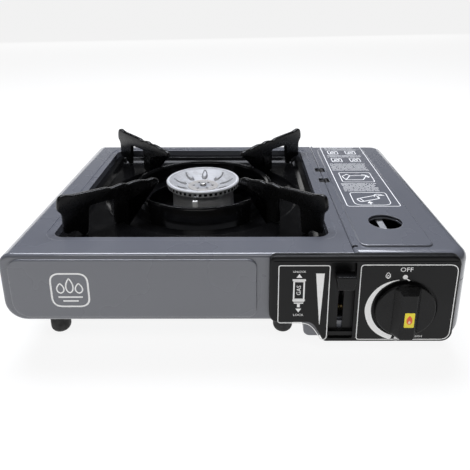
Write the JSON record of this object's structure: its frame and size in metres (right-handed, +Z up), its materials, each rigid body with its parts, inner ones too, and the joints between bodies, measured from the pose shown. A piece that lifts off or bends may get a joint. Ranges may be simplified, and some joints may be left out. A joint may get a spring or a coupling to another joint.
{
  "type": "portable gas camping stove",
  "caption": "Portable tabletop gas stove with a pan support over a round burner, and a lidded bay beside it for a lying gas cartridge.",
  "frame": {"origin": "on the table, under the middle of the stove's outer box", "axes": "+X to the user's right, +Y away from the user, +Z up"},
  "size_m": [0.34, 0.284, 0.113],
  "materials": {
    "case_paint": "glossy blue-grey stoving enamel",
    "black_enamel": "glossy black vitreous enamel",
    "fascia_plastic": "satin black moulded plastic with white print",
    "knob_plastic": "satin black heat-resistant plastic",
    "galvanised_steel": "zinc-coated pressed steel",
    "screw_steel": "plated screw steel",
    "cast_alloy": "die-cast alloy",
    "bright_aluminium": "bright pressed aluminium",
    "dark_steel": "heat-tinted steel",
    "brass_fittings": "turned brass",
    "black_rubber": "matt black rubber",
    "white_ceramic": "white glazed insulator",
    "igniter_plastic": "dark moulded plastic"
  },
  "bodies": {
    "chassis": {"upper_shell": "case_paint", "base_pan": "case_paint", "control_fascia": "fascia_plastic", "heat_shield": "galvanised_steel", "hinge_hooks": "galvanised_steel", "hinge_pin": "galvanised_steel", "can_guide": "galvanised_steel", "can_cradle": "galvanised_steel", "lever_bracket": "galvanised_steel", "lever_pin": "galvanised_steel", "igniter_bracket": "galvanised_steel", "burner_bracket": "galvanised_steel", "electrode_bracket": "galvanised_steel", "mixing_tube": "galvanised_steel", "spark_tip": "galvanised_steel", "fascia_screws": "screw_steel", "regulator_screws": "screw_steel", "bracket_rivets": "screw_steel", "burner_screw": "screw_steel", "regulator_body": "cast_alloy", "burner_base": "cast_alloy", "burner_ring": "bright_aluminium", "burner_cone": "bright_aluminium", "burner_disc": "dark_steel", "inlet_nozzle": "brass_fittings", "jet_nozzle": "brass_fittings", "regulator_cap": "brass_fittings", "gas_pipe": "brass_fittings", "foot_front_left": "black_rubber", "foot_front_right": "black_rubber", "foot_back_left": "black_rubber", "foot_back_right": "black_rubber", "inlet_seal": "black_rubber", "ignition_lead": "black_rubber", "electrode": "white_ceramic", "piezo_igniter": "igniter_plastic"},
    "lid": {"lid_shell": "case_paint"},
    "knob": {"knob_dial": "knob_plastic", "knob_grip": "knob_plastic", "valve_spindle": "galvanised_steel"},
    "lock_lever": {"lever_arm": "galvanised_steel", "lever_handle": "knob_plastic"},
    "carriage": {"can_carriage": "galvanised_steel"},
    "plunger": {"igniter_plunger": "igniter_plastic"},
    "pan_support": {"drip_tray": "black_enamel", "tray_collar": "black_enamel", "support_arm_1": "black_enamel", "support_arm_2": "black_enamel", "support_arm_3": "black_enamel", "support_arm_4": "black_enamel"}
  },
  "joints": [
    {"name": "lid_hinge", "type": "hinge", "parent": "chassis", "child": "lid", "pos_m": [0.0881, 0.0075, 0.0819], "axis": [0, -1, 0], "range_deg": [0, 100]},
    {"name": "dial_turn", "type": "hinge", "parent": "chassis", "child": "knob", "pos_m": [0.1229, -0.133, 0.043], "axis": [0, -1, 0], "range_deg": [0, 195]},
    {"name": "lever_turn", "type": "hinge", "parent": "chassis", "child": "lock_lever", "pos_m": [0.0772, -0.093, 0.046], "axis": [1, 0, 0], "range_deg": [0, 45]},
    {"name": "carriage_slide", "type": "slide", "parent": "chassis", "child": "carriage", "axis": [0, -1, 0], "range_m": [0, 0.00688]},
    {"name": "plunger_press", "type": "slide", "parent": "chassis", "child": "plunger", "axis": [1, 0, 0], "range_m": [0, 0.003], "stiffness_N_per_m": 600},
    {"name": "pan_support_lift", "type": "slide", "parent": "chassis", "child": "pan_support", "axis": [0, 0, 1], "range_m": [0, 0.12]}
  ],
  "couplings": [
    {"joint": "lever_turn", "follows": "carriage_slide", "rad_per_m": 114.15}
  ]
}
